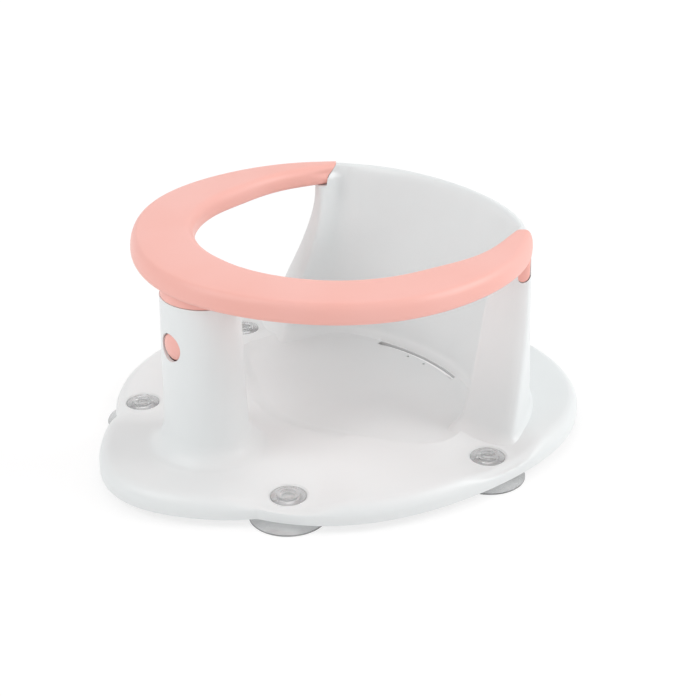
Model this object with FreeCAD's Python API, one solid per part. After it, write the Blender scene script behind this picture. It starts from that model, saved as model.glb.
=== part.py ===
import FreeCAD, Part

import math
import os

# A baby bath seat: one white moulded seat body on four clear suction cups, and a two-shell
# pink ring that plugs into the front post, where a sprung button releases it.
# -Y is the front, where the sitter faces, +X is to the right as seen from there and +Z is up.
# The origin is under the middle of the seat, on the plane that the suction cups rest on.

V = FreeCAD.Vector

# Overall sizes
total_height = 155.0
ring_half_width = 142.4
lobe_half_width = 88.1

# Plate
plate_beyond_ring = 27.5
plate_underside_height = 5.9
plate_top_height = 20.1
plate_edge_radius = 9.2
plate_notch_radius = 9.0
plate_behind_ring = 16.4
lobe_behind_post = 10.4
plate_wall = 2.5

# Seat floor, a shallow dish in the plate
floor_height = 15.2
dish_slope_run = 13.0

# Wall
wall_skin = 2.5
rim_thickness = 12.0
column_top_radius = 117.0
column_foot_radius = 107.0
wall_outer_inset = 0.95
wall_outer_flare = 6.6
wall_foot_radius = 6.5
wall_inner_foot_radius = 3.6
column_foot_flare = 9.0
column_cap_depth = 6.0
rim_drop = 0.7
rim_outer_round_run = 6.0
rim_outer_round_drop = 11.4
rim_inner_round_run = 3.2
rim_inner_round_drop = 8.1

# Ring
ring_height = 15.2
ring_skin = 2.2
ring_top_round_run = 6.7
ring_top_round_drop = 11.0
ring_foot_round_run = 4.6
ring_foot_round_drop = 3.6
ring_inner_round_run = 7.6
ring_inner_round_drop = 7.6
ring_inner_foot_run = 3.4
ring_parting_height = 3.8
ring_end_overhang = 6.2
ring_end_step_height = 7.6
running_gap = 0.3

# Tongue under each end of the ring, in a pocket at the front of the wall
tongue_width = 8.6
tongue_depth = 5.2
tongue_length = 17.5
tongue_edge_inset = 5.6
pocket_gap = 0.9

# Post, neck and plug
post_half_width = 29.5
post_half_depth = 25.7
post_foot_growth = 2.6
post_flare_radius = 19.0
post_foot_sink = 2.0
post_foot_slack = 0.3
post_centre_inset = 28.0
neck_height = 6.4
post_skin = 2.5
neck_inset = 0.6
plug_gap = 0.4
plug_skin = 2.0
plug_length = 58.0

# Release button and its spring
button_below_post_top = 31.7
button_diameter = 18.6
button_hole_diameter = 20.2
button_recess = 1.0
button_crown = 2.2
button_travel = 4.0
button_flange_diameter = 24.0
button_flange_thickness = 1.6
button_flange_gap = 2.8
button_sleeve_diameter = 12.0
button_skin = 1.5
spring_wire = 0.8
spring_coil_diameter = 7.4
tower_width = 15.0
tower_thickness = 3.0
tower_behind_face = 19.0
tower_above_button = 8.0
spring_boss_diameter = 5.4
spring_boss_length = 3.0

# Suction cups
cup_disc_radius = 27.0
cup_edge_thickness = 1.0
cup_hollow_height = 4.6
cup_hollow_top_radius = 9.0
cup_bell_radius = 6.0
cup_rim_land = 0.8
cup_shoulder_gap = 0.1
cup_corner_radius = 0.8
cup_knob_wall = 2.4
cup_stem_radius = 7.5
cup_neck_radius = 4.2
cup_neck_clearance = 0.2
cup_head_radius = 12.3
cup_head_thickness = 1.5
cup_knob_radius = 8.3
cup_knob_height = 3.4
cup_recess_radius = 5.2
spot_face_radius = 13.8
spot_face_height = 14.0
spot_skin = 2.5
spot_boss_wall = 2.5
front_cup_edge_inset = 20.4
back_cup_edge_inset = 22.2

# Drain slot and drain holes
slot_half_length = 42.5
slot_width = 2.4
slot_bend_radius = 140.7
slot_inside_wall = 4.8
drain_hole_diameter = 2.4
drain_hole_side = 9.0
drain_hole_ahead_of_slot = 7.5

# Cuts run past the faces that they open by this much
overrun = 2.0

# An edge counts as level within this much
level_slack = 0.002

# Shares of a half width that shape each rounded outline, by the cosine of k times the angle
ring_outline_shares = {2: -0.0155, 3: -0.0097, 4: -0.0068, 5: -0.0070, 6: 0.0030}
plate_outline_shares = {2: 0.0211, 3: -0.0125, 4: -0.0288, 6: -0.0026}
lobe_outline_shares = {2: -0.0412, 3: -0.0065, 4: 0.0280}

# Inner edge of the ring: angle from the back in degrees, share of the ring's half width
ring_inner_shares = ((46.0, 0.934), (50.0, 0.886), (57.0, 0.850), (66.0, 0.816), (78.0, 0.762),
                     (90.0, 0.716), (105.0, 0.704), (122.0, 0.690), (151.0, 0.664), (180.0, 0.649))

# Where the ring is narrow, its top rounds take at most this share of its width
ring_round_share = 0.9

# Front edge of the seat floor, in the same way
dish_shares = ((0.0, 0.79), (40.0, 0.79), (70.0, 0.79), (84.0, 0.775), (91.5, 0.741), (105.0, 0.580),
               (120.0, 0.485), (150.0, 0.410), (180.0, 0.397))

# Slope down into the dish: share of its depth, share of its run
dish_slope_shares = ((0, 1.0), (0.12, 0.72), (0.5, 0.42), (0.88, 0.14), (1.0, 0), (1.6, 0))

# Inner foot of the wall, as a share of the ring's outer radius
wall_foot_share = 0.75

# Heights at which the wall is drawn: in its foot, in its straight part and in its rim
wall_foot_shares = (0.0, 0.15, 0.35, 0.65, 1.0)
wall_rise_shares = (0.1, 0.25, 0.4, 0.6, 0.8, 0.93, 1.0)
wall_rim_shares = (0.4, 0.7, 0.88, 0.97, 1.0)

# Heights at which the post is drawn: in its flare and above it
post_flare_shares = (0, 0.06, 0.16, 0.32, 0.58, 1.0)
post_rise_shares = (0.3, 0.65, 1.0)

# A wide foot starts this share of its radius below the plate's top
foot_start_share = 1 / 6

# Points round the wall's rounded front end, as shares of its half thickness
column_cap_shares = (-0.92, -0.62, -0.22, 0.22, 0.62, 0.92)
column_cap_squareness = 2.6

# Front end of the wall: height as a share of the rise from floor to ring, angle in degrees
wall_end_shares = ((0.0, 73.0), (0.14, 69.0), (0.29, 66.0), (0.44, 62.0), (0.58, 58.6), (0.86, 54.0),
                   (1.0, 54.0))

# Angles from the back, in degrees
ring_end_angle = 47.6
ring_lead_angle = 3.0
wall_blend_start_angle = 43.0
wall_blend_lead_angle = 2.0
tongue_angle = 54.0
front_cup_angle = 145.8
back_cup_angle = 86.5

# Slope of the suction cup's skirt, and turns at which a rounded corner of the ring is drawn
cup_skirt_angle = 14.0
corner_turns = (0, 22.5, 45, 67.5, 90)

# Number of points that draw each outline, and of lengths that draw the ring
plate_point_count = 24
dish_point_count = 36
post_point_count = 20
wall_step_count = 14
ring_step_count = 32
spring_turn_count = 5
spring_step_count = 14
spring_wire_count = 6

full_turn = 360


def share_at(table, place):
    """Smooth value of a hand-chosen table at a place along it."""
    places = [row[0] for row in table]
    values = [row[1] for row in table]
    place = min(max(place, places[0]), places[-1])
    slopes = []
    for k in range(len(table)):
        before = max(k - 1, 0)
        after = min(k + 1, len(table) - 1)
        slopes.append((values[after] - values[before]) / (places[after] - places[before]))
    k = max(i for i in range(len(table) - 1) if places[i] <= place)
    run = places[k + 1] - places[k]
    u = (place - places[k]) / run
    return ((2 * u ** 3 - 3 * u ** 2 + 1) * values[k] + (u ** 3 - 2 * u ** 2 + u) * run * slopes[k]
            + (3 * u ** 2 - 2 * u ** 3) * values[k + 1] + (u ** 3 - u ** 2) * run * slopes[k + 1])


def smooth_step(start, end, place):
    u = min(max((place - start) / (end - start), 0), 1)
    return u * u * (3 - 2 * u)


def outline_radius(half_width, shares, angle):
    """Radius of a rounded outline at an angle from the back, in degrees."""
    return half_width * (1 + sum(share * math.cos(k * math.radians(angle)) for k, share in shares.items()))


def ring_outer_radius(angle):
    return outline_radius(ring_half_width, ring_outline_shares, angle)


def ring_inner_radius(angle):
    return ring_half_width * share_at(ring_inner_shares, abs(angle))


def at_angle(radius, angle, height, centre_y):
    turn = math.radians(angle)
    return V(radius * math.sin(turn), centre_y + radius * math.cos(turn), height)


# The origin is midway between the plate's back and the lobe's front
plate_half_width = ring_half_width + plate_beyond_ring
post_ahead_of_ring = ring_outer_radius(180) - post_centre_inset
lobe_ahead_of_ring = post_ahead_of_ring - lobe_behind_post
plate_back = plate_behind_ring + outline_radius(plate_half_width, plate_outline_shares, 0)
plate_front = lobe_ahead_of_ring + outline_radius(lobe_half_width, lobe_outline_shares, 180)
ring_y = (plate_front - plate_back) / 2
plate_y = ring_y + plate_behind_ring
lobe_y = ring_y - lobe_ahead_of_ring
post_y = ring_y - post_ahead_of_ring

ring_underside_height = total_height - ring_height
rim_top_height = total_height - rim_drop
post_top_height = ring_underside_height - neck_height
button_height = post_top_height - button_below_post_top
plug_foot_height = post_top_height - plug_length
post_foot_height = plate_top_height - post_foot_sink


def cup_place(angle, edge_inset):
    """A cup's axis, so far inside the plate's outline at an angle from the back."""
    radius = outline_radius(plate_half_width, plate_outline_shares, angle) - edge_inset
    return at_angle(radius, angle, 0, plate_y)


cup_places = {
    "front_left": cup_place(-front_cup_angle, front_cup_edge_inset),
    "front_right": cup_place(front_cup_angle, front_cup_edge_inset),
    "back_left": cup_place(-back_cup_angle, back_cup_edge_inset),
    "back_right": cup_place(back_cup_angle, back_cup_edge_inset),
}


# Shared shape makers

def drawn_out(points):
    """Control points that carry a smooth closed curve through the given points."""
    poles = []
    for k, point in enumerate(points):
        before = points[k - 1] - point
        after = points[(k + 1) % len(points)] - point
        reach = min(before.Length, after.Length)
        bend = before * (reach / before.Length) + after * (reach / after.Length)
        poles.append(point - bend * (1 / 6))
    return poles


def closed_face(points):
    curve = Part.BSplineCurve()
    count = len(points)
    curve.buildFromPolesMultsKnots(drawn_out(points), [1] * (count + 1), list(range(count + 1)), True, 3)
    return Part.Face(Part.Wire([curve.toShape()]))


def spline_loft(sections):
    """Solid with one smooth skin along closed outlines of the same number of points."""
    rows = [drawn_out(points) for points in sections]
    around = len(rows[0])
    along = len(rows) - 3
    skin = Part.BSplineSurface()
    skin.buildFromPolesMultsKnots(
        [[row[k] for row in rows] for k in range(around)],
        [1] * (around + 1), [4] + [1] * (along - 1) + [4],
        list(range(around + 1)), list(range(along + 1)), True, False, 3, 3)
    side = skin.toShape()
    ends = [Part.Face(Part.Wire([edge])) for edge in side.Edges if edge.isClosed()]
    shell = Part.Shell([side] + ends)
    shell.sewShape()
    solid = Part.Solid(shell)
    if solid.Volume < 0:
        solid.reverse()
    return solid


def cylinder(radius, foot, top, place):
    return Part.makeCylinder(radius, top - foot, V(place.x, place.y, foot))


def prism(points, direction):
    wire = Part.makePolygon(list(points) + [points[0]])
    return Part.Face(wire).extrude(direction)


def outline_points(radius_at, centre_y, height, count):
    step = full_turn / count
    return [at_angle(radius_at(k * step), k * step, height, centre_y) for k in range(count)]


def edges_at_height(shape, height):
    found = []
    for edge in shape.Edges:
        box = edge.BoundBox
        if abs(box.ZMin - height) < level_slack and abs(box.ZMax - height) < level_slack:
            found.append(edge)
    return found


# Plate with its front lobe and the dished seat floor

def plate_blank(inset, foot, top, edge_radius):
    def main_radius(angle):
        return outline_radius(plate_half_width, plate_outline_shares, angle) - inset

    def lobe_radius(angle):
        return outline_radius(lobe_half_width, lobe_outline_shares, angle) - inset

    rise = V(0, 0, top - foot)
    main = closed_face(outline_points(main_radius, plate_y, foot, plate_point_count)).extrude(rise)
    lobe = closed_face(outline_points(lobe_radius, lobe_y, foot, plate_point_count)).extrude(rise)
    blank = main.fuse(lobe).removeSplitter()
    blank = blank.makeFillet(plate_notch_radius + inset, vertical_notches(blank))
    return blank.makeFillet(edge_radius, edges_at_height(blank, top))


def vertical_notches(blank):
    """The two upright edges where the lobe meets the plate."""
    found = []
    for edge in blank.Edges:
        box = edge.BoundBox
        upright = box.ZLength > 100 * max(box.XLength, box.YLength)
        if upright and box.Center.y < ring_y:
            found.append(edge)
    return found


def dish_solid(sink, spread):
    """The space over the seat floor, sunk and spread by a skin for the plate's underside."""
    rise = plate_top_height - floor_height
    sections = []
    for height_share, run_share in dish_slope_shares:
        height = floor_height + rise * height_share - sink
        run = dish_slope_run * run_share

        def radius_at(angle):
            side = (angle + full_turn / 2) % full_turn - full_turn / 2
            return ring_half_width * share_at(dish_shares, abs(side)) - run + spread

        sections.append(outline_points(radius_at, ring_y, height, dish_point_count))
    return spline_loft(sections)


# Double-skinned wall, C-shaped in plan, from the floor to the rim

def wall_end_angle(height):
    share = (height - floor_height) / (ring_underside_height - floor_height)
    return share_at(wall_end_shares, share)


def foot_flare(height, radius):
    """How far a foot of this radius spreads at a height above the plate."""
    above = height - plate_top_height + radius * foot_start_share
    if above >= radius:
        return 0
    return radius - math.sqrt(max(radius ** 2 - (radius - max(above, 0)) ** 2, 0))


def wall_section(height, inset, outer_round, inner_round):
    rise_share = (height - floor_height) / (total_height - floor_height)
    end = wall_end_angle(height)
    front_foot = foot_flare(height, column_foot_flare)
    cap = column_cap_depth + front_foot
    column_radius = column_foot_radius + (column_top_radius - column_foot_radius) * rise_share
    column_radius = column_radius - front_foot + inset + inner_round

    def outer_at(angle):
        flare = wall_outer_flare * (ring_underside_height - height) / ring_underside_height
        return (ring_outer_radius(angle) - wall_outer_inset + flare + foot_flare(height, wall_foot_radius)
                - inset - outer_round)

    def inner_at(angle):
        share = smooth_step(wall_blend_start_angle, end - wall_blend_lead_angle, abs(angle))
        foot_radius = wall_foot_share * ring_outer_radius(angle)
        rim_radius = ring_outer_radius(angle) - rim_thickness
        lean_radius = foot_radius + (rim_radius - foot_radius) * rise_share
        lean_radius = lean_radius - foot_flare(height, wall_inner_foot_radius) + inset + inner_round
        return lean_radius + (column_radius - lean_radius) * share

    # The cap's own depth is taken back by the inset, so the end skin is as thick as the rest
    mid_radius = (outer_at(end) + inner_at(end)) / 2
    half_thick = (outer_at(end) - inner_at(end)) / 2
    flare_angle = math.degrees(front_foot / mid_radius)
    cap_angle = math.degrees(cap / mid_radius)
    tip = end + flare_angle - math.degrees(inset / mid_radius)
    arc_end = tip - cap_angle
    arc = [arc_end * k / wall_step_count for k in range(wall_step_count + 1)]
    right = [(outer_at(angle), angle) for angle in arc]
    for share in column_cap_shares:
        depth_share = (1 - abs(share) ** column_cap_squareness) ** (1 / column_cap_squareness)
        right.append((mid_radius - half_thick * share, arc_end + cap_angle * depth_share))
    right += [(inner_at(angle), angle) for angle in reversed(arc)]
    left = [(radius, -angle) for radius, angle in reversed(right[1:-1])]
    return [at_angle(radius, angle, height, ring_y) for radius, angle in right + left]


def wall_solid(inset, foot_height):
    """The wall's outside when inset is zero, and its hollow when inset is the skin."""
    top = rim_top_height - inset
    outer_drop = rim_outer_round_drop - inset
    inner_drop = rim_inner_round_drop - inset
    straight_top = top - outer_drop
    sections = []
    straight_foot = plate_top_height + column_foot_flare * (1 - foot_start_share)
    heights = [foot_height]
    heights += [plate_top_height + (straight_foot - plate_top_height) * share for share in wall_foot_shares]
    heights += [straight_foot + (straight_top - straight_foot) * share for share in wall_rise_shares]
    for height in heights:
        sections.append(wall_section(height, inset, 0, 0))
    for share in wall_rim_shares:
        fall = math.sqrt(1 - share ** 2)
        height = straight_top + outer_drop * share
        inner_share = max(0, 1 - (top - height) / inner_drop)
        outer_round = (rim_outer_round_run - inset) * (1 - fall)
        inner_round = (rim_inner_round_run - inset) * (1 - math.sqrt(1 - inner_share ** 2))
        sections.append(wall_section(height, inset, outer_round, inner_round))
    return spline_loft(sections)


# Front post

def post_outline(height, grow):
    points = []
    for k in range(post_point_count):
        turn = 2 * math.pi * k / post_point_count
        points.append(V((post_half_width + grow) * math.sin(turn),
                        post_y + (post_half_depth + grow) * math.cos(turn), height))
    return points


def post_section(height, inset):
    foot_share = 1 - (height - plate_top_height) / (post_top_height - plate_top_height)
    above = height + inset - post_foot_height
    flare = 0
    if above < post_flare_radius:
        flare = post_flare_radius - math.sqrt(max(post_flare_radius ** 2 - (post_flare_radius - above) ** 2, 0))
    return post_outline(height, post_foot_growth * foot_share + flare - inset)


def post_solid(inset, top_height):
    foot = post_foot_height - inset + post_foot_slack
    flare_top = post_foot_height + post_flare_radius
    heights = [foot + (flare_top - foot) * share for share in post_flare_shares]
    heights += [flare_top + (top_height - flare_top) * share for share in post_rise_shares]
    return spline_loft([post_section(height, inset) for height in heights])


# Profile of the ring's ends, where the upper half overhangs the rim

def end_prism(side, gap, foot, reach):
    """What lies ahead of a ring end: everything on the ring's own side of the stepped end line."""
    radius = ring_outer_radius(ring_end_angle)
    turn = math.radians(ring_end_angle)
    along = V(side * math.cos(turn), -math.sin(turn), 0)
    out = V(side * math.sin(turn), math.cos(turn), 0)
    base = V(0, ring_y, 0) + out * (radius - ring_half_width / 2)
    step_height = ring_underside_height + ring_end_step_height
    slant = ring_end_overhang / 3
    profile = (
        (reach, foot),
        (ring_end_overhang - gap, foot),
        (ring_end_overhang - gap, step_height - slant - gap),
        (-gap, step_height + slant - gap),
        (-gap, total_height + overrun),
        (reach, total_height + overrun),
    )
    points = [base + along * s + V(0, 0, z) for s, z in profile]
    return prism(points, out * ring_half_width)


# Tongue under a ring end, flush with the front and the outside of the wall

def tongue_block(side, grow):
    """The tongue before its faces are cut flush, or the pocket around it when it is grown."""
    angle = side * tongue_angle
    turn = math.radians(angle)
    out = V(math.sin(turn), math.cos(turn), 0)
    along = V(side * math.cos(turn), -side * math.sin(turn), 0)
    half_width = tongue_width / 2 + grow
    foot_middle = ring_underside_height - tongue_length + tongue_width / 2
    middle = at_angle(ring_outer_radius(tongue_angle) - tongue_edge_inset, angle, foot_middle, ring_y)
    back = middle - along * (tongue_depth + grow)
    reach = along * (tongue_depth + grow + column_cap_depth)
    foot = Part.makeCylinder(half_width, reach.Length, back, along)
    top = ring_underside_height + ring_foot_round_drop + grow
    rise = V(0, 0, top - foot_middle)
    shank = prism((back - out * half_width, back + out * half_width, back + out * half_width + rise,
                   back - out * half_width + rise), reach)
    return foot.fuse(shank)


# Seat body

def suction_cup_bosses(radius, foot, top):
    return [cylinder(radius, foot, top, place) for place in cup_places.values()]


def make_seat_body():
    plate = plate_blank(0, plate_underside_height, plate_top_height, plate_edge_radius)
    plate = plate.cut(dish_solid(0, 0))
    wall = wall_solid(0, floor_height - plate_wall / 2)
    for side in (-1, 1):
        notch = end_prism(side, running_gap, ring_underside_height - running_gap, ring_half_width)
        wall = wall.cut(notch).cut(tongue_block(side, pocket_gap))
    body = plate.fuse(wall).fuse(post_solid(0, post_top_height))

    hollow = plate_blank(plate_wall, plate_underside_height - overrun, plate_top_height - plate_wall,
                         plate_edge_radius - plate_wall)
    hollow = hollow.cut(dish_solid(plate_wall, plate_wall))
    boss_foot = spot_face_height - spot_skin
    hollow = hollow.cut(suction_cup_bosses(spot_face_radius + spot_boss_wall, boss_foot,
                                           plate_top_height + overrun))
    wall_hollow = wall_solid(wall_skin, floor_height - plate_wall - overrun)
    for side in (-1, 1):
        top = ring_underside_height - running_gap - wall_skin
        wall_hollow = wall_hollow.cut(end_prism(side, running_gap + wall_skin, top, ring_half_width))
        wall_hollow = wall_hollow.cut(tongue_block(side, pocket_gap + wall_skin))
    post_hollow = post_solid(post_skin, post_top_height + overrun)
    body = body.cut([hollow, wall_hollow, post_hollow])
    body = body.cut(suction_cup_bosses(spot_face_radius, spot_face_height, plate_top_height + overrun))
    body = body.cut(suction_cup_bosses(cup_neck_radius + cup_neck_clearance, 0, plate_top_height))
    return body


# Pink ring: two hollow shells that meet on a level line, the lower one with the neck and plug

def ring_section(angle, inset, stretch):
    outer = ring_outer_radius(angle) - inset
    inner = ring_inner_radius(angle) + inset
    top = total_height - inset
    foot = ring_underside_height + inset
    rounds = ring_top_round_run + ring_inner_round_run - 2 * inset
    fit = min(1, (outer - inner) * ring_round_share / rounds)
    corners = (
        (outer, top, -(ring_top_round_run - inset) * fit, -ring_top_round_drop + inset),
        (outer, foot, -(ring_foot_round_run - inset) * fit, ring_foot_round_drop - inset),
        (inner, foot, (ring_inner_foot_run - inset) * fit, ring_foot_round_drop - inset),
        (inner, top, (ring_inner_round_run - inset) * fit, -ring_inner_round_drop + inset),
    )
    points = []
    for number, (radius, height, run, rise) in enumerate(corners):
        turns = corner_turns if number % 2 else reversed(corner_turns)
        for turn in turns:
            along = 1 - math.cos(math.radians(turn))
            up = 1 - math.sin(math.radians(turn))
            points.append(at_angle((radius + run * along) * stretch, angle, height + rise * up, ring_y))
    return points


def ring_solid(inset):
    start = ring_end_angle - ring_lead_angle
    step = (full_turn - 2 * start) / ring_step_count
    stretch = 3 / (2 + math.cos(math.radians(step)))
    sections = []
    for k in range(ring_step_count + 1):
        angle = start + step * k
        side = angle if angle <= full_turn / 2 else angle - full_turn
        sections.append(ring_section(side, inset, stretch))
    solid = spline_loft(sections)
    for side in (-1, 1):
        solid = solid.cut(end_prism(side, -inset, ring_underside_height - overrun, -ring_half_width / 3))
    return solid


def make_ring():
    shell = ring_solid(0).cut(ring_solid(ring_skin))
    parting = ring_underside_height + ring_parting_height
    above = Part.makeBox(4 * ring_half_width, 4 * ring_half_width, ring_height,
                         V(-2 * ring_half_width, -2 * ring_half_width, parting))
    upper = shell.common(above)
    lower = shell.cut(above)

    skin_top = ring_underside_height + ring_skin
    neck = post_length(neck_inset, post_top_height + running_gap, skin_top)
    plug = post_length(post_skin + plug_gap, plug_foot_height, skin_top)
    hollow = post_length(post_skin + plug_gap + plug_skin, plug_foot_height - overrun,
                         ring_underside_height - overrun)
    window = button_flange_diameter / 2 + plug_gap + running_gap
    front = post_y - post_half_depth - post_foot_growth
    slot = Part.makeBox(2 * window, post_half_depth, button_height - plug_foot_height + overrun,
                        V(-window, front, plug_foot_height - overrun))
    arch = Part.makeCylinder(window, post_half_depth, V(0, front, button_height), V(0, 1, 0))
    lower = lower.fuse(neck.fuse(plug).cut([hollow, slot, arch]))
    wall = wall_solid(0, floor_height)
    for side in (-1, 1):
        lower = lower.fuse(tongue_block(side, 0).common(wall))
    return upper, lower


def post_length(inset, foot, top):
    """A straight-sided length with the outline of the post's top, drawn in by an inset."""
    return closed_face(post_outline(foot, -inset)).extrude(V(0, 0, top - foot))


# Release button, its spring and the tower in the post that backs the spring

def post_face_y():
    """Front of the post at the button's height."""
    foot_share = 1 - (button_height - plate_top_height) / (post_top_height - plate_top_height)
    return post_y - post_half_depth - post_foot_growth * foot_share


def turned(profile, place, axis):
    wire = Part.Wire([edge.toShape() for edge in profile])
    return Part.Face(wire).revolve(place, axis, full_turn)


def chain(points):
    return [Part.LineSegment(a, b) for a, b in zip(points, points[1:])]


def make_button():
    face = post_face_y() + button_recess
    radius = button_diameter / 2
    sleeve = button_sleeve_diameter / 2
    flange_front = post_face_y() + post_skin + button_flange_gap
    flange_back = flange_front + button_flange_thickness
    sleeve_end = post_face_y() + tower_behind_face - button_travel - running_gap

    def at(r, y):
        return V(r, y, button_height)

    ball = (radius ** 2 + button_crown ** 2) / (2 * button_crown)
    dome_middle = at(radius / 2, face + ball - math.sqrt(ball ** 2 - (radius / 2) ** 2))
    dome = Part.Arc(at(0, face), dome_middle, at(radius, face + button_crown))
    inside = chain([
        at(radius, face + button_crown), at(radius, flange_front), at(button_flange_diameter / 2, flange_front),
        at(button_flange_diameter / 2, flange_back), at(sleeve, flange_back), at(sleeve, sleeve_end),
        at(sleeve - button_skin, sleeve_end), at(sleeve - button_skin, face + button_crown + button_skin),
        at(0, face + button_crown + button_skin), at(0, face)])
    return turned([dome] + inside, V(0, 0, button_height), V(0, 1, 0))


def faceted_loft(sections):
    """Solid of flat triangles along small outlines, for wire."""
    faces = [Part.Face(Part.makePolygon(list(end) + [end[0]])) for end in (sections[0], sections[-1])]
    count = len(sections[0])
    for low, high in zip(sections, sections[1:]):
        for k in range(count):
            after = (k + 1) % count
            for corners in ((low[k], low[after], high[after]), (low[k], high[after], high[k])):
                faces.append(Part.Face(Part.makePolygon(list(corners) + [corners[0]])))
    shell = Part.Shell(faces)
    shell.sewShape()
    solid = Part.Solid(shell)
    if solid.Volume < 0:
        solid.reverse()
    return solid


def make_spring():
    seat = post_face_y() + tower_behind_face
    tip = post_face_y() + button_recess + button_crown + button_skin + button_travel + running_gap
    length = seat - tip - spring_wire
    coil = spring_coil_diameter / 2
    steps = spring_turn_count * spring_step_count
    sections = []
    for k in range(steps + 1):
        turn = 2 * math.pi * k / spring_step_count
        out = V(math.cos(turn), 0, math.sin(turn))
        middle = V(0, seat - spring_wire / 2 - length * k / steps, button_height) + out * coil
        section = []
        for j in range(spring_wire_count):
            wire_turn = 2 * math.pi * j / spring_wire_count
            section.append(middle + (out * math.cos(wire_turn) + V(0, math.sin(wire_turn), 0)) * (spring_wire / 2))
        sections.append(section)
    return faceted_loft(sections)


def make_tower():
    """Cross rib and tower inside the post, with the spring's boss."""
    front = post_face_y() + tower_behind_face
    foot = plate_top_height - plate_wall
    rib = Part.makeBox(4 * post_half_width, tower_thickness, plug_foot_height - 2 * running_gap - foot,
                       V(-2 * post_half_width, front, foot))
    rib = rib.common(post_solid(post_skin / 2, post_top_height))
    tower = Part.makeBox(tower_width, tower_thickness, button_height + tower_above_button - foot,
                         V(-tower_width / 2, front, foot))
    boss = Part.makeCylinder(spring_boss_diameter / 2, spring_boss_length,
                             V(0, front - spring_boss_length, button_height), V(0, 1, 0))
    return rib.fuse([tower, boss])


# Suction cup, turned about its own axis

def make_cup(place):
    shoulder = spot_face_height - spot_skin - cup_shoulder_gap
    head_top = spot_face_height + cup_head_thickness
    knob_top = head_top + cup_knob_height
    corner = cup_corner_radius

    def at(r, z):
        return place + V(r, 0, z)

    # The skirt is a cone that runs into the stem on a round
    hollow_radius = cup_disc_radius - cup_rim_land
    slope = math.radians(cup_skirt_angle)
    skirt_radius = cup_stem_radius + cup_bell_radius * (1 - math.sin(slope))
    skirt_height = cup_edge_thickness + (cup_disc_radius - skirt_radius) * math.tan(slope)
    stem_foot = skirt_height + cup_bell_radius * math.cos(slope)
    halfway = (slope + math.pi / 2) / 2
    bell_middle = at(cup_stem_radius + cup_bell_radius * (1 - math.sin(halfway)),
                     stem_foot - cup_bell_radius * math.cos(halfway))
    profile = [
        *chain([at(0, cup_hollow_height), at(cup_hollow_top_radius, cup_hollow_height), at(hollow_radius, 0),
                at(cup_disc_radius, 0), at(cup_disc_radius, cup_edge_thickness),
                at(skirt_radius, skirt_height)]),
        Part.Arc(at(skirt_radius, skirt_height), bell_middle, at(cup_stem_radius, stem_foot)),
    ]
    profile += chain([
        at(cup_stem_radius, stem_foot), at(cup_stem_radius, shoulder), at(cup_neck_radius, shoulder),
        at(cup_neck_radius, spot_face_height), at(cup_head_radius, spot_face_height),
        at(cup_head_radius, head_top - corner), at(cup_head_radius - corner, head_top),
        at(cup_knob_radius, head_top), at(cup_knob_radius, knob_top - corner),
        at(cup_knob_radius - corner, knob_top), at(cup_recess_radius + corner, knob_top),
        at(cup_recess_radius, knob_top - corner),
        at(cup_recess_radius, head_top), at(0, head_top), at(0, cup_hollow_height)])
    return turned(profile, place, V(0, 0, 1))


def finish_seat_body(body):
    """Cuts the button hole, the drain slot and the drain holes, and adds the spring's tower."""
    face = post_face_y()
    hole = Part.makeCylinder(button_hole_diameter / 2, post_skin + button_flange_gap + overrun,
                             V(0, face - overrun, button_height), V(0, 1, 0))
    slot_behind_ring = wall_foot_share * ring_outer_radius(0) - slot_inside_wall
    slot_centre = V(0, ring_y + slot_behind_ring - slot_bend_radius, floor_height - plate_wall - overrun)
    depth = plate_wall + 3 * overrun
    ring_cut = Part.makeCylinder(slot_bend_radius + slot_width / 2, depth, slot_centre).cut(
        Part.makeCylinder(slot_bend_radius - slot_width / 2, depth, slot_centre))
    slot = ring_cut.common(Part.makeBox(2 * slot_half_length, 2 * slot_bend_radius, depth,
                                        slot_centre + V(-slot_half_length, 0, 0)))
    holes = []
    for side in (-1, 1):
        holes.append(Part.makeCylinder(drain_hole_diameter / 2, depth,
                                       V(side * drain_hole_side, ring_y + slot_behind_ring - drain_hole_ahead_of_slot,
                                         floor_height - plate_wall - overrun)))
    return body.cut([hole, slot] + holes).fuse(make_tower())


def save(shape, name):
    box = shape.BoundBox
    print(name, shape.isValid(), len(shape.Solids), round(shape.Volume),
          [round(v, 1) for v in (box.XMin, box.XMax, box.YMin, box.YMax, box.ZMin, box.ZMax)])
    shape.exportStep("parts/" + name + ".step")


def main():
    os.makedirs("parts", exist_ok=True)
    save(finish_seat_body(make_seat_body()), "seat_body")
    upper, lower = make_ring()
    save(upper, "ring_upper_shell")
    save(lower, "ring_lower_shell")
    save(make_button(), "release_button")
    save(make_spring(), "button_spring")
    for corner, place in cup_places.items():
        save(make_cup(place), "suction_cup_" + corner)


main()
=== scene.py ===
# %% [markdown]
# Baby bath seat. The real one is a handful of mouldings that work together: a white seat body with
# a C-shaped wall and a front post, a salmon pink ring in two shells that plugs into the post, and
# four clear suction cups that hold the seat to the bath. A small pink button in the post lets the
# ring go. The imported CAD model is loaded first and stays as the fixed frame, so that every piece
# made here has a place and a body to ride on.

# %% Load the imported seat
import math

import bpy
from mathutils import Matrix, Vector
from mathutils.kdtree import KDTree


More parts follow.
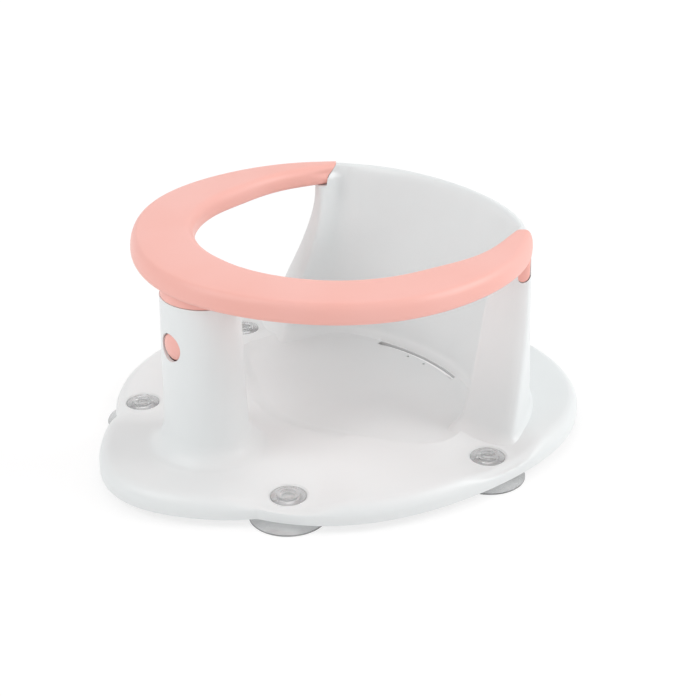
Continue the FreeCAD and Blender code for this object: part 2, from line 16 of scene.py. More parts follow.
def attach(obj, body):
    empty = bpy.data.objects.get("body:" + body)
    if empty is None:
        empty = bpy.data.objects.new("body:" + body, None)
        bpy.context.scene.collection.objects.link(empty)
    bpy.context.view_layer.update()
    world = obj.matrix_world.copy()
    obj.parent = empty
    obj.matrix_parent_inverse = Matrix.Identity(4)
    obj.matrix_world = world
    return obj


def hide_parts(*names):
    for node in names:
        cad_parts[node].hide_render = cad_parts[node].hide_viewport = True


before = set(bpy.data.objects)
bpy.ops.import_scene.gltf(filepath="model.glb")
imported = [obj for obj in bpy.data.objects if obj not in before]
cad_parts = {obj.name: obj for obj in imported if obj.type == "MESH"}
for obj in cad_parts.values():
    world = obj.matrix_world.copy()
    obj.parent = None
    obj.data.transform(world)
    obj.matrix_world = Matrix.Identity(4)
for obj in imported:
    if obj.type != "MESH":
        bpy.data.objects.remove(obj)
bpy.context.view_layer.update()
print("solids:", sorted(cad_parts))

# %% [markdown]
# The camera stands where the photographer stood: to the front and the right of the seat and a
# little above it, far enough away that the ring looks only slightly larger in front than behind. It
# could be placed by hand, but two angles, a distance and two small shifts from the middle of the
# seat say the same in numbers that can be changed one by one.

# %% Camera
camera_turn = math.radians(48.52)
camera_rise = math.radians(26.27)
camera_distance = 0.96673
camera_right_shift = 0.01418
camera_up_shift = -0.02679
camera_lens = 67.84

to_right = Vector((math.cos(camera_turn), math.sin(camera_turn), 0))
to_camera = Vector((math.sin(camera_turn) * math.cos(camera_rise),
                    -math.cos(camera_turn) * math.cos(camera_rise), math.sin(camera_rise)))
to_top = to_camera.cross(to_right)
aim = Vector((0, 0.00434, 0.0855))

camera_data = bpy.data.cameras.new("photo_camera")
camera_data.lens = camera_lens
camera = bpy.data.objects.new("photo_camera", camera_data)
camera.location = (aim + to_camera * camera_distance + to_right * camera_right_shift
                   + to_top * camera_up_shift)
camera.rotation_euler = (math.pi / 2 - camera_rise, 0, camera_turn)
bpy.context.scene.collection.objects.link(camera)
bpy.context.scene.camera = camera
bpy.context.scene.view_settings.view_transform = "Standard"
print("camera stands at", [round(v, 3) for v in camera.location])

# %% [markdown]
# A product photograph on white is lit by large soft lamps from several sides. Still more light
# would turn the floor white, but it would also wash out the soft greys of the seat. So the floor
# and the sky only look white: they show a white of their own to the camera, in reflections and
# through clear things, and the floor still catches the seat's faint shadow.

# %% Tools for materials
def new_material(name):
    """A material with its nodes and its links."""
    material = bpy.data.materials.new(name)
    material.use_nodes = True
    return material, material.node_tree.nodes, material.node_tree.links


def object_place(nodes):
    """Coordinates that stay with the piece."""
    return nodes.new("ShaderNodeTexCoord").outputs["Object"]


def calculated(nodes, links, operation, first, second):
    """The result of a Math node that two sockets feed."""
    node = nodes.new("ShaderNodeMath")
    node.operation = operation
    links.new(first, node.inputs[0])
    links.new(second, node.inputs[1])
    return node.outputs[0]


def map_range(nodes, links, source, start, end, low=0, high=1):
    """What source gives, taken from start and end to low and high."""
    node = nodes.new("ShaderNodeMapRange")
    for name, number in (("From Min", start), ("From Max", end), ("To Min", low), ("To Max", high)):
        node.inputs[name].default_value = number
    links.new(source, node.inputs["Value"])
    return node.outputs["Result"]


def seen_directly(nodes, links):
    """One where a ray comes from the camera, from a reflection or through something clear."""
    rays = nodes.new("ShaderNodeLightPath").outputs
    seen = calculated(nodes, links, "MAXIMUM", rays["Is Camera Ray"], rays["Is Glossy Ray"])
    return calculated(nodes, links, "MAXIMUM", seen, rays["Is Transmission Ray"])


print("tools ready for materials")

# %% Floor that looks white and keeps the shadow
floor_half_width = 6.0
floor_height = -0.0003
floor_white = 0.93
floor_glow = 1.07
near_glow_share = 0.72
glow_rise_start, glow_rise_end = 0.5, 1.8

bpy.ops.object.select_all(action="DESELECT")
bpy.ops.mesh.primitive_plane_add(size=2 * floor_half_width, location=(0, 0, floor_height))
floor = bpy.context.object
floor.name = "studio_floor"
floor_paint, nodes, links = new_material("studio_floor_paint")
floor_shader = nodes["Principled BSDF"]
floor_shader.inputs["Base Color"].default_value = (floor_white, floor_white, floor_white, 1)
floor_shader.inputs["Roughness"].default_value = 0.9
glow = nodes.new("ShaderNodeEmission")
glow.inputs["Strength"].default_value = floor_glow
distance = nodes.new("ShaderNodeVectorMath")
distance.operation = "LENGTH"
links.new(object_place(nodes), distance.inputs[0])
glow_by_distance = map_range(nodes, links, distance.outputs["Value"],
                             glow_rise_start, glow_rise_end, low=near_glow_share)
glow_share = calculated(nodes, links, "MULTIPLY", seen_directly(nodes, links), glow_by_distance)
blend = nodes.new("ShaderNodeMixShader")
links.new(glow_share, blend.inputs["Fac"])
links.new(floor_shader.outputs[0], blend.inputs[1])
links.new(glow.outputs[0], blend.inputs[2])
links.new(blend.outputs[0], nodes["Material Output"].inputs["Surface"])
floor.data.materials.append(floor_paint)
print("floor is", floor_half_width * 2, "m wide")

# %% Sky, brighter at the sides than overhead
sky_side_light = 0.84
sky_top_light = 0.49
sky_fade_start, sky_fade_end = 0.1, 0.9

world = bpy.data.worlds.new("studio_sky")
world.use_nodes = True
bpy.context.scene.world = world
nodes, links = world.node_tree.nodes, world.node_tree.links
split = nodes.new("ShaderNodeSeparateXYZ")
links.new(nodes.new("ShaderNodeTexCoord").outputs["Generated"], split.inputs[0])
sky_light = map_range(nodes, links, split.outputs["Z"], sky_fade_start, sky_fade_end,
                      sky_side_light, sky_top_light)
strength = nodes.new("ShaderNodeMix")
links.new(sky_light, strength.inputs["A"])
strength.inputs["B"].default_value = 1.0
links.new(seen_directly(nodes, links), strength.inputs["Factor"])
nodes["Background"].inputs["Color"].default_value = (1, 1, 1, 1)
links.new(strength.outputs["Result"], nodes["Background"].inputs["Strength"])
print("sky lights the seat at", sky_side_light, "and", sky_top_light)

# %% Three soft lamps
lamp_distance = 1.8
upward = Vector((0, 0, 1))
level_to_camera = Vector((to_camera.x, to_camera.y, 0)).normalized()


def soft_lamp(name, direction, width, power):
    """A round lamp that looks at the seat; its width is in metres and its power in watts."""
    lamp = bpy.data.lights.new(name, "AREA")
    lamp.shape = "DISK"
    lamp.size = width
    lamp.energy = power
    holder = bpy.data.objects.new(name, lamp)
    holder.location = aim + direction.normalized() * lamp_distance
    holder.rotation_euler = direction.to_track_quat("Z", "Y").to_euler()
    bpy.context.scene.collection.objects.link(holder)
    print(name, "gives", power, "W")


soft_lamp("key_lamp", upward * 0.7 + to_right * 1.0 + level_to_camera * 0.1,
          width=1.0, power=12.5)
soft_lamp("left_lamp", upward * 1.0 - to_right * 0.9 + level_to_camera * 0.4,
          width=1.1, power=8.5)
soft_lamp("top_lamp", upward * 1.0 - level_to_camera * 0.4, width=1.4, power=2.5)

# %% [markdown]
# The finishes of this seat are moulded plastic, vinyl and wire, and three effects come back in
# them: the fine grain that a mould leaves with a slow ripple under it, a slight drift of the tint
# from thick to thin places, and a haze of handling that makes some places glossier than others.
# They could be built anew in each material. As node groups they are built once, and each material
# gives them its own values.

# %% Tools for node groups
value, colour = "NodeSocketFloat", "NodeSocketColor"
first_colour, second_colour, mixed_colour = 6, 7, 2


def new_group(name, inputs, outputs):
    """An empty shader node group; each input has a name, a socket type and a first value."""
    group = bpy.data.node_groups.new(name, "ShaderNodeTree")
    for socket_name, kind, first_value in inputs:
        socket = group.interface.new_socket(name=socket_name, in_out="INPUT", socket_type=kind)
        socket.default_value = first_value
    for socket_name, kind in outputs:
        group.interface.new_socket(name=socket_name, in_out="OUTPUT", socket_type=kind)
    start = group.nodes.new("NodeGroupInput")
    end = group.nodes.new("NodeGroupOutput")
    return group, group.nodes, group.links, start, end


def noise_on_object(nodes, links, scale_socket, detail):
    """Noise that stays with the piece, at a scale that a group input gives."""
    noise = nodes.new("ShaderNodeTexNoise")
    noise.inputs["Detail"].default_value = detail
    links.new(object_place(nodes), noise.inputs["Vector"])
    links.new(scale_socket, noise.inputs["Scale"])
    return noise.outputs["Fac"]


def colour_mix(nodes, links, share):
    """A Mix node for colours, whose sockets go by number because other kinds share their names."""
    node = nodes.new("ShaderNodeMix")
    node.data_type = "RGBA"
    links.new(share, node.inputs["Factor"])
    return node


print("tools ready for node groups")

# %% Three node groups
drift_low, drift_high = 0.35, 0.65

mould_grain, nodes, links, start, end = new_group(
    "mould_grain", [("Grain Scale", value, 1500), ("Ripple Scale", value, 40),
                    ("Ripple Share", value, 0.5)], [("Height", value)])
grain = noise_on_object(nodes, links, start.outputs["Grain Scale"], detail=3)
ripple = noise_on_object(nodes, links, start.outputs["Ripple Scale"], detail=1)
height = nodes.new("ShaderNodeMix")
links.new(start.outputs["Ripple Share"], height.inputs["Factor"])
links.new(grain, height.inputs["A"])
links.new(ripple, height.inputs["B"])
links.new(height.outputs["Result"], end.inputs["Height"])

tint_drift, nodes, links, start, end = new_group(
    "tint_drift", [("Tint", colour, (1, 1, 1, 1)), ("Thin Tint", colour, (1, 1, 1, 1)),
                   ("Drift Scale", value, 12)], [("Colour", colour)])
drift = noise_on_object(nodes, links, start.outputs["Drift Scale"], detail=2)
thin_share = map_range(nodes, links, drift, start=drift_low, end=drift_high)
tints = colour_mix(nodes, links, thin_share)
links.new(start.outputs["Tint"], tints.inputs[first_colour])
links.new(start.outputs["Thin Tint"], tints.inputs[second_colour])
links.new(tints.outputs[mixed_colour], end.inputs["Colour"])

handling_haze, nodes, links, start, end = new_group(
    "handling_haze", [("Clean Roughness", value, 0.3), ("Hazy Roughness", value, 0.45),
                      ("Haze Scale", value, 30)], [("Roughness", value)])
haze = noise_on_object(nodes, links, start.outputs["Haze Scale"], detail=5)
roughness = nodes.new("ShaderNodeMapRange")
links.new(haze, roughness.inputs["Value"])
links.new(start.outputs["Clean Roughness"], roughness.inputs["To Min"])
links.new(start.outputs["Hazy Roughness"], roughness.inputs["To Max"])
links.new(roughness.outputs["Result"], end.inputs["Roughness"])
print("groups:", [group.name for group in bpy.data.node_groups])

# %% [markdown]
# The seat and the ring are polypropylene: a solid colour all through, a soft gloss, and a skin that
# is never quite even. A glossy and a plain shader could be mixed for that, but one physically based
# shader shows it well, with the colour, the roughness and the bump each fed by its group.

# %% Moulded plastic, white and pink
def group_node(nodes, group, **values):
    """A node that holds a group, with its own values."""
    node = nodes.new("ShaderNodeGroup")
    node.node_tree = group
    for socket_name, given in values.items():
        node.inputs[socket_name.replace("_", " ")].default_value = given
    return node


def moulded(name, tint, thin_tint, clean, hazy):
    """A moulded plastic with its tints and its roughness where it is clean and hazy."""
    material, nodes, links = new_material(name)
    shader = nodes["Principled BSDF"]
    tint_node = group_node(nodes, tint_drift, Tint=(*tint, 1), Thin_Tint=(*thin_tint, 1),
                           Drift_Scale=14)
    haze_node = group_node(nodes, handling_haze, Clean_Roughness=clean, Hazy_Roughness=hazy,
                           Haze_Scale=35)
    grain_node = group_node(nodes, mould_grain, Grain_Scale=1600, Ripple_Scale=45,
                            Ripple_Share=0.6)
    bump = nodes.new("ShaderNodeBump")
    bump.inputs["Strength"].default_value = 0.25
    bump.inputs["Distance"].default_value = 0.0002
    links.new(tint_node.outputs["Colour"], shader.inputs["Base Color"])
    links.new(haze_node.outputs["Roughness"], shader.inputs["Roughness"])
    links.new(grain_node.outputs["Height"], bump.inputs["Height"])
    links.new(bump.outputs["Normal"], shader.inputs["Normal"])
    return material


white_plastic = moulded("white_plastic", tint=(0.785, 0.808, 0.812),
                        thin_tint=(0.80, 0.825, 0.828), clean=0.30, hazy=0.46)
pink_plastic = moulded("pink_plastic", tint=(0.89, 0.45, 0.39),
                       thin_tint=(0.90, 0.475, 0.42), clean=0.32, hazy=0.48)
print("plastics ready")

# %% [markdown]
# The suction cups are clear vinyl. Glass alone would look too hard and clean, so a part of the
# light comes back as from plastic. Shade and light are painted into its colour: a grey in the skirt
# for the plate's shadow on it, and a near white in the head on top, where the light falls. Seen at
# a slant the colour darkens towards near black, which a Layer Weight node gives: a little of that
# is the vinyl's own tint over a longer path, most is a painted dark rim for the shade at the edges
# of clear vinyl. The haze group roughens it in patches.

# %% Clear vinyl
shaded_skirt_top, lit_head_foot = 0.009, 0.013
dark_rim_start, dark_rim_depth = 0.5, 0.8

clear_vinyl, nodes, links = new_material("clear_vinyl")
shader = nodes["Principled BSDF"]
shader.inputs["IOR"].default_value = 1.5
shader.inputs["Transmission Weight"].default_value = 0.84
# Painted shade and light: the skirt's grey stands for the plate's shadow on it, the head's near
# white for the light on top.
shaded_skirt_tint = group_node(nodes, tint_drift, Tint=(0.64, 0.65, 0.655, 1),
                        Thin_Tint=(0.72, 0.73, 0.735, 1), Drift_Scale=90)
lit_head_tint = group_node(nodes, tint_drift, Tint=(0.93, 0.935, 0.94, 1),
                       Thin_Tint=(0.97, 0.975, 0.98, 1), Drift_Scale=90)
split = nodes.new("ShaderNodeSeparateXYZ")
links.new(object_place(nodes), split.inputs[0])
lit_head_share = map_range(nodes, links, split.outputs["Z"], shaded_skirt_top, lit_head_foot)
lit_and_shaded_cup_tint = colour_mix(nodes, links, lit_head_share)
links.new(shaded_skirt_tint.outputs["Colour"], lit_and_shaded_cup_tint.inputs[first_colour])
links.new(lit_head_tint.outputs["Colour"], lit_and_shaded_cup_tint.inputs[second_colour])
# Painted dark rim: at a slant the colour goes towards near black, mostly for the shade at the clear
# vinyl's edges.
dark_rim_view = nodes.new("ShaderNodeLayerWeight")
dark_rim_view.inputs["Blend"].default_value = 0.35
dark_rim_share = map_range(nodes, links, dark_rim_view.outputs["Facing"], dark_rim_start, 1, high=dark_rim_depth)
painted_dark_rim = colour_mix(nodes, links, dark_rim_share)
links.new(lit_and_shaded_cup_tint.outputs[mixed_colour], painted_dark_rim.inputs[first_colour])
painted_dark_rim.inputs[second_colour].default_value = (0.12, 0.125, 0.13, 1)
links.new(painted_dark_rim.outputs[mixed_colour], shader.inputs["Base Color"])
vinyl_haze = group_node(nodes, handling_haze, Clean_Roughness=0.05, Hazy_Roughness=0.2,
                        Haze_Scale=120)
links.new(vinyl_haze.outputs["Roughness"], shader.inputs["Roughness"])
print("vinyl ready")

# %% [markdown]
# The spring is drawn steel wire. A plain metal shader would look like a mirror, so the same two
# groups, on a much smaller scale, give it the fine marks that drawing leaves.

# %% Spring steel
spring_steel, nodes, links = new_material("spring_steel")
shader = nodes["Principled BSDF"]
shader.inputs["Metallic"].default_value = 1.0
steel_tint = group_node(nodes, tint_drift, Tint=(0.55, 0.54, 0.53, 1),
                        Thin_Tint=(0.66, 0.65, 0.63, 1), Drift_Scale=400)
steel_haze = group_node(nodes, handling_haze, Clean_Roughness=0.22, Hazy_Roughness=0.4,
                        Haze_Scale=600)
links.new(steel_tint.outputs["Colour"], shader.inputs["Base Color"])
links.new(steel_haze.outputs["Roughness"], shader.inputs["Roughness"])
print("steel ready")

# %% [markdown]
# The seat body and the two ring shells are large skins that curve slowly in every direction. They
# could be modelled again from a few faces with a subdivision surface, but their CAD surfaces
# already have the right shape. So each is taken as a copy of its own, its loose triangles are
# merged into one skin, and it is shaded smooth except where two faces meet at a clear edge. Sizes
# are written in millimetres from here on, and mm turns them into metres.

# %% Tools for pieces
mm = 0.001
merge_distance = 0.00001


def only(piece):
    """Selects one piece and makes it active."""
    bpy.ops.object.select_all(action="DESELECT")
    piece.select_set(True)
    bpy.context.view_layer.objects.active = piece


def edit_all(piece):
    """Opens one piece for editing, with its whole mesh selected."""
    only(piece)
    bpy.ops.object.mode_set(mode="EDIT")
    bpy.ops.mesh.select_all(action="SELECT")


def close_edit():
    """Goes back from editing a mesh to its object."""
    bpy.ops.object.mode_set(mode="OBJECT")


def copied(name, mesh):
    """A piece with a copy of a mesh for its own."""
    piece = bpy.data.objects.new(name, mesh.copy())
    bpy.context.scene.collection.objects.link(piece)
    return piece


def lowest_and_highest(places):
    """The two corners of the box round some places."""
    low = Vector([min(place[k] for place in places) for k in range(3)])
    high = Vector([max(place[k] for place in places) for k in range(3)])
    return low, high


def node_box(node):
    """Lowest and highest corner of a CAD solid."""
    return lowest_and_highest([vertex.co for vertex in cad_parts[node].data.vertices])


def finish_piece(piece, node, body, material, edge_angle):
    """Shades a piece, gives it its material and body, hides its CAD solid; node is None if it is
    extra.
    """
    only(piece)
    bpy.ops.object.shade_smooth_by_angle(angle=math.radians(edge_angle))
    piece.data.materials.clear()
    piece.data.materials.append(material)
    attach(piece, body)
    if node:
        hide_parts(node)
    low, high = lowest_and_highest(piece.bound_box)
    print(piece.name, len(piece.data.polygons), "faces from", [round(v / mm, 1) for v in low],
          "to", [round(v / mm, 1) for v in high])


print("tools ready for pieces")

# %% Smooth skins from the CAD solids
def merged_copy(name, node):
    """A piece of its own with the shape of a CAD solid, merged into one skin."""
    piece = copied(name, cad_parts[node].data)
    edit_all(piece)
    bpy.ops.mesh.remove_doubles(threshold=merge_distance)
    close_edit()
    bpy.ops.mesh.customdata_custom_splitnormals_clear()
    return piece


seat_skin = merged_copy("seat_skin", "seat_body")
ring_top_skin = merged_copy("ring_top_skin", "ring_upper_shell")
ring_foot_skin = merged_copy("ring_foot_skin", "ring_lower_shell")
print("three skins copied")

# %% [markdown]
# Where the ring's ends rest on the wall, the two are flush on the inside, and the line between them
# slopes down from the rim before it drops. A sculpting brush could push that into place. Here a
# rule does it, the same on both sides: each point near an end moves by a small distance that
# depends on its angle round the ring, its radius and its height, and that fades out softly. The
# ring and the wall follow one rule, so the gap between them stays.

# %% How far the wall and the end line move
thinning_depth = 6.4
thinning_start_angles = (38, 46.8)
thinning_end_angles = (57, 63)
thinning_heights = (96, 134)
thinning_radii = (124, 141)
end_line_moves = ((139.0, -0.8), (145.3, -1.6), (147.5, 0.8),
                  (149.5, 1.8), (152.0, -0.2), (154.6, -1.8))


def soft_share(start, end, place):
    """Rises softly from 0 to 1 between two places."""
    share = min(max((place - start) / (end - start), 0), 1)
    return share * share * (3 - 2 * share)


def wall_thinning(radius, angle, height):
    """How far the inner side of the wall moves outwards, most under the ring's end."""
    return (thinning_depth * soft_share(*thinning_start_angles, angle)
            * (1 - soft_share(*thinning_end_angles, angle))
            * soft_share(*thinning_heights, height) * (1 - soft_share(*thinning_radii, radius)))


def end_line_move(height):
    """How far the line between ring and wall moves forward at a height."""
    if height <= end_line_moves[0][0]:
        return 0
    for (low, before), (high, after) in zip(end_line_moves, end_line_moves[1:]):
        if height <= high:
            return before + (after - before) * (height - low) / (high - low)
    return end_line_moves[-1][1]


print("at a height of 149.5 the end line moves forward by", end_line_move(149.5))

# %% Ease the ring's ends and the wall under them
ring_middle_y = 4.35
end_angle = 47.6
end_zone_middle = 3
end_zone_full, end_zone_last = 7, 16
widest_angle = 90
smallest_step = 0.001


def ease_ends(piece, thins):
    """Moves the points near both ends of the ring; the wall is thinned only if thins is true."""
    moved = 0
    turn = math.radians(end_angle)
    for vertex in piece.data.vertices:
        x, y, z = vertex.co / mm
        away = Vector((x, y - ring_middle_y, 0))
        radius = math.hypot(x, y - ring_middle_y)
        angle = math.degrees(math.atan2(abs(x), y - ring_middle_y))
        thinning = wall_thinning(radius, angle, z) if thins else 0
        side = 1 if x > 0 else -1
        forward = Vector((side * math.cos(turn), -math.sin(turn), 0))
        end_distance = abs(away.dot(forward) - end_zone_middle)
        near = 0
        if angle < widest_angle:
            near = 1 - soft_share(end_zone_full, end_zone_last, end_distance)
        step = away.normalized() * thinning + forward * near * end_line_move(z)
        if step.length > smallest_step:
            vertex.co += step * mm
            moved += 1
    piece.data.update()
    print(piece.name, moved, "points eased")


ease_ends(seat_skin, thins=True)
ease_ends(ring_top_skin, thins=False)
ease_ends(ring_foot_skin, thins=False)

# %% [markdown]
# The top of the plate is one flat face with few points in it, but the real plate isn't quite flat:
# it sinks a little round each suction cup, whose head then lies nearly level with it, and it rolls
# softly into the dish in front of the wall. Subdividing the whole skin would make it heavy for
# nothing, so only that face gets more points. Both moves are small and fade out with the distance.

# %% Give the flat plate points to bend with
plate_top = 20.1
dish_floor = 15.2
flat_limit = 0.02
plate_cuts = 7

seat_mesh = seat_skin.data
only(seat_skin)
bpy.ops.object.mode_set(mode="EDIT")
bpy.ops.mesh.select_mode(type="FACE")
bpy.ops.mesh.select_all(action="DESELECT")
close_edit()
for face in seat_mesh.polygons:
    heights = [seat_mesh.vertices[k].co.z / mm for k in face.vertices]
    face.select = all(abs(height - plate_top) < flat_limit for height in heights)
print(sum(face.select for face in seat_mesh.polygons), "flat faces on the plate")
bpy.ops.object.mode_set(mode="EDIT")
bpy.ops.mesh.subdivide(number_cuts=plate_cuts)
bpy.ops.mesh.select_all(action="SELECT")
bpy.ops.mesh.quads_convert_to_tris()
bpy.ops.mesh.select_mode(type="VERT")
close_edit()
print(len(seat_mesh.polygons), "faces in the seat's skin")

# %% Roll the plate softly into the dish
dish_roll = 1.5
dish_roll_reach = 20
dish_side_reach = 14
dish_edge_low = 19.0
dish_outer_radius = 113
dish_front_y = -22
dish_front_fade = 18
plate_radius = 150
post_middle_y = -109.68
post_clear_radius = 40

edge_places = []
for vertex in seat_mesh.vertices:
    x, y, z = vertex.co / mm
    if (dish_edge_low < z < plate_top - flat_limit
            and math.hypot(x, y - ring_middle_y) < dish_outer_radius
            and math.hypot(x, y - post_middle_y) > post_clear_radius):
        edge_places.append((vertex.co.x, vertex.co.y, 0))
edge_tree = KDTree(len(edge_places))
for index, place in enumerate(edge_places):
    edge_tree.insert(place, index)
edge_tree.balance()
rolled = 0
for vertex in seat_mesh.vertices:
    x, y, z = vertex.co / mm
    front = 1 - soft_share(dish_front_y - dish_front_fade, dish_front_y, y)
    on_plate = (math.hypot(x, y - ring_middle_y) <= plate_radius
                and math.hypot(x, y - post_middle_y) >= post_clear_radius)
    if front == 0 or not on_plate or not dish_floor < z < plate_top + flat_limit:
        continue
    reach = edge_tree.find((vertex.co.x, vertex.co.y, 0))[2] / mm
    if z > plate_top - flat_limit:
        share = max(0, 1 - reach / dish_roll_reach) ** 2
    elif reach < dish_side_reach:
        share = (z - dish_floor) / (plate_top - dish_floor)
    else:
        share = 0
    vertex.co.z -= dish_roll * front * share * mm
    rolled += 1
print(rolled, "points near the dish's front edge")

# %% Let the plate sink round the cups
cup_corners = ("front_left", "front_right", "back_left", "back_right")
dip_depth = 5.0
dip_flat_radius = 15
dip_outer_radius = 46
dip_heights = (12, 19)

for corner in cup_corners:
    low, high = node_box("suction_cup_" + corner)
    middle = (low + high) / 2
    for vertex in seat_mesh.vertices:
        reach = math.hypot(vertex.co.x - middle.x, vertex.co.y - middle.y) / mm
        if reach < dip_outer_radius:
            share = 1 - soft_share(dip_flat_radius, dip_outer_radius, reach)
            share *= soft_share(*dip_heights, vertex.co.z / mm)
            vertex.co.z -= dip_depth * share * mm
print("plate sinks round", len(cup_corners), "cups")

# %% [markdown]
# A narrow curved slot at the foot of the wall lets the water out. A wider one could be cut with a
# boolean, but it is enough to move the points of its front edge forward: that opens it to the width
# that is seen and leaves the skin closed. Then the three skins get their finish.

# %% Widen the drain slot towards the front
slot_bend_radius = 140.7
slot_middle_y = 102.51
slot_half_length = 42.5
slot_half_width = 1.2
slot_widening = 2.4
slot_highest = 16
slot_end_slack, slot_edge_slack = 0.1, 0.15

slot_centre_y = slot_middle_y - slot_bend_radius
widened = 0
for vertex in seat_mesh.vertices:
    x, y, z = vertex.co / mm
    bend = math.hypot(x, y - slot_centre_y)
    in_slot = z < slot_highest and y > 0 and abs(x) < slot_half_length + slot_end_slack
    if in_slot and abs(bend - slot_bend_radius + slot_half_width) < slot_edge_slack:
        vertex.co.y -= slot_widening * mm
        widened += 1
seat_mesh.update()
print(widened, "points of the slot's front edge moved")

# %% Finish the three skins
skin_edge_angle = 32
finish_piece(seat_skin, "seat_body", "seat", white_plastic, skin_edge_angle)
finish_piece(ring_top_skin, "ring_upper_shell", "ring", pink_plastic,
             skin_edge_angle)
finish_piece(ring_foot_skin, "ring_lower_shell", "ring", pink_plastic,
             skin_edge_angle)

# %% [markdown]
# The button and the cups are round. A screw modifier could turn them from half an outline, but here
# each is raised from one circle, which is drawn out ring by ring, like clay on a wheel, so that one
# short list gives its shape. Both ends are closed, and a small bevel then rounds every sharp turn,
# as a mould does. The place of each piece comes from the CAD solid that it stands for.

# %% Tools for round pieces
round_sides = 96
arc_steps = 8
round_edge_angle = 35
bevel_segments = 3
bevel_from_angle = 28


def apply_modifier(piece, kind, **values):
    """Adds a modifier to a piece and applies it."""
    modifier = piece.modifiers.new(kind.lower(), kind)
    for key, given in values.items():
        setattr(modifier, key, given)
    only(piece)
    bpy.ops.object.modifier_apply(modifier=modifier.name)


def drawn_rings(name, rings):
    """An open skin about the Z axis; each ring is a radius and a height."""
    radius, height = rings[0]
    bpy.ops.object.select_all(action="DESELECT")
    bpy.ops.mesh.primitive_circle_add(vertices=round_sides, radius=radius * mm)
    piece = bpy.context.object
    piece.name = name
    edit_all(piece)
    bpy.ops.transform.translate(value=(0, 0, height * mm))
    for next_radius, next_height in rings[1:]:
        bpy.ops.mesh.extrude_region_move(
            TRANSFORM_OT_translate={"value": (0, 0, (next_height - height) * mm)})
        growth = next_radius / radius
        bpy.ops.transform.resize(value=(growth, growth, 1), center_override=(0, 0, 0))
        radius, height = next_radius, next_height
    bpy.ops.mesh.select_all(action="SELECT")
    return piece


def soften(piece, bevel):
    """Turns all faces outwards, leaves edit mode and rounds the sharp turns."""
    bpy.ops.mesh.normals_make_consistent(inside=False)
    close_edit()
    apply_modifier(piece, "BEVEL", width=bevel * mm, segments=bevel_segments,
                   limit_method="ANGLE", angle_limit=math.radians(bevel_from_angle))
    return piece


def turned_piece(name, rings, bevel):
    """A solid round piece, closed at both ends."""
    piece = drawn_rings(name, rings)
    bpy.ops.mesh.fill_holes(sides=0)
    return soften(piece, bevel)


def turned_ring(name, rings, bevel):
    """A round piece with a hole, whose last ring is joined to its first."""
    piece = drawn_rings(name, rings + rings[:1])
    bpy.ops.mesh.remove_doubles(threshold=merge_distance)
    return soften(piece, bevel)


def place_piece(piece, x, y, z):
    """Moves a piece's mesh, so that its object stays at the origin."""
    edit_all(piece)
    bpy.ops.transform.translate(value=(x, y, z))
    close_edit()


print("tools ready for round pieces")

# %% [markdown]
# The release button is a shallow dome with a flange that holds it behind the post's skin, and a
# sleeve that keeps the spring in line. A flattened sphere would give the dome alone, so the whole
# button is turned from one list of rings, standing up, and then laid down to face the front.

# %% Release button
button_radius, button_crown, button_lead = 9.3, 2.8, 1.4
flange_radius, flange_front, flange_back = 12.0, 4.3, 5.9
sleeve_radius, sleeve_bore, sleeve_bottom = 6.0, 4.5, 3.7
button_bevel = 0.35

button_low, button_high = node_box("release_button")
button_middle = (button_low + button_high) / 2
button_length = (button_high.y - button_low.y) / mm
ball_radius = (button_radius ** 2 + button_crown ** 2) / (2 * button_crown)
button_rings = []
for step in range(1, arc_steps + 1):
    ring_radius = button_radius * step / arc_steps
    ring_depth = ball_radius - math.sqrt(ball_radius ** 2 - ring_radius ** 2) - button_lead
    button_rings.append((ring_radius, ring_depth))
button_rings += [(button_radius, flange_front), (flange_radius, flange_front),
                 (flange_radius, flange_back), (sleeve_radius, flange_back),
                 (sleeve_radius, button_length), (sleeve_bore, button_length),
                 (sleeve_bore, sleeve_bottom)]
button_piece = turned_piece("button_piece", button_rings, button_bevel)
edit_all(button_piece)
bpy.ops.transform.rotate(value=math.radians(90), orient_axis="X", center_override=(0, 0, 0))
close_edit()
place_piece(button_piece, button_middle.x, button_low.y, button_middle.z)
finish_piece(button_piece, "release_button", "button", pink_plastic,
             round_edge_angle)

# %% [markdown]
# The spring behind the button is a coil of round wire. A curve with a round bevel could draw it,
# but it would need every point of the coil. It starts instead as the round section of its wire, set
# out from the axis by the radius of the coil. A screw modifier winds it up by the pitch that the
# solid's length gives, and the two cut ends are closed.

# %% Button spring
spring_low, spring_high = node_box("button_spring")
spring_middle = (spring_low + spring_high) / 2
wire_radius = 0.4 * mm
wire_sides = 12
spring_turns = 5
steps_in_a_turn = 28
spring_edge_angle = 40
coil_radius = (spring_high.x - spring_low.x) / 2 - wire_radius
pitch = (spring_high.y - spring_low.y - 2 * wire_radius) / spring_turns

bpy.ops.object.select_all(action="DESELECT")
bpy.ops.mesh.primitive_circle_add(vertices=wire_sides, radius=wire_radius)
spring = bpy.context.object
spring.name = "spring_wire"
place_piece(spring, coil_radius, 0, 0)
apply_modifier(spring, "SCREW", axis="Y", steps=steps_in_a_turn, render_steps=steps_in_a_turn,
               iterations=spring_turns, screw_offset=pitch, angle=2 * math.pi)
edit_all(spring)
bpy.ops.mesh.fill_holes(sides=0)
bpy.ops.mesh.normals_make_consistent(inside=False)
close_edit()
place_piece(spring, spring_middle.x, spring_low.y + wire_radius, spring_middle.z)
finish_piece(spring, "button_spring", "seat", spring_steel, spring_edge_angle)

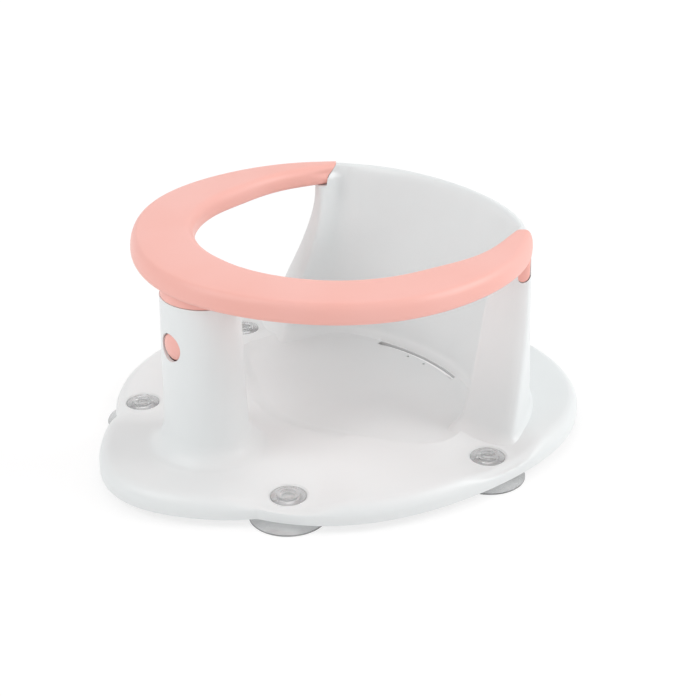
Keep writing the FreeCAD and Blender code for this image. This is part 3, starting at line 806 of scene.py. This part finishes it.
# %% [markdown]
# A suction cup is one soft moulding: a thin skirt with a hollow under it, a stem that runs up into
# the plate, a neck, and a head with a raised ring that stops it from pulling through. A white lip
# lines the plate's recess round the head. Lofted sections would give the same shapes with more
# work, so both are turned. One of each is made and then copied to the four places, each copy with a
# mesh of its own, because each cup is a separate piece that can be changed by itself.

# %% Rings of a suction cup and its lip
skirt_slope = math.radians(14)
stem_radius, bell_radius, disc_radius, disc_edge = 7.5, 6.0, 27.0, 1.0

bell_start = stem_radius + bell_radius * (1 - math.sin(skirt_slope))
bell_height = disc_edge + (disc_radius - bell_start) * math.tan(skirt_slope)
bell_top = bell_height + bell_radius * math.cos(skirt_slope)
bell_rings = []
for step in range(arc_steps + 1):
    lean = skirt_slope + (math.pi / 2 - skirt_slope) * step / arc_steps
    bell_rings.append((stem_radius + bell_radius * (1 - math.sin(lean)),
                       bell_top - bell_radius * math.cos(lean)))
hollow_rings = [(4.5, 4.6), (9.0, 4.6), (17.6, 2.3), (26.2, 0.0)]
edge_rings = [(disc_radius, 0.0), (disc_radius, disc_edge)]
neck_rings = [(stem_radius, 11.4), (4.2, 11.4), (4.2, 13.6)]
head_rings = [(12.1, 13.6), (12.1, 14.7), (8.1, 14.7), (8.1, 16.5), (5.3, 16.5), (5.3, 14.8)]
cup_rings = hollow_rings + edge_rings + bell_rings + neck_rings + head_rings
lip_rings = [(4.5, 13.0), (13.75, 13.0), (13.75, 15.0), (12.5, 14.6), (12.5, 13.5), (4.5, 13.5)]
print(len(cup_rings), "rings in a cup and", len(lip_rings), "in a lip")

# %% Four suction cups and their lips
cup_bevel, lip_bevel = 0.3, 0.18

first_cup = turned_piece("first_cup", cup_rings, cup_bevel)
first_lip = turned_ring("first_lip", lip_rings, lip_bevel)
for corner in cup_corners:
    node = "suction_cup_" + corner
    low, high = node_box(node)
    cup = copied("cup_" + corner, first_cup.data)
    lip = copied("cup_lip_" + corner, first_lip.data)
    for piece in (cup, lip):
        place_piece(piece, (low.x + high.x) / 2, (low.y + high.y) / 2, low.z)
    finish_piece(cup, node, "seat", clear_vinyl, round_edge_angle)
    finish_piece(lip, None, "seat", white_plastic, round_edge_angle)
bpy.data.objects.remove(first_cup)
bpy.data.objects.remove(first_lip)
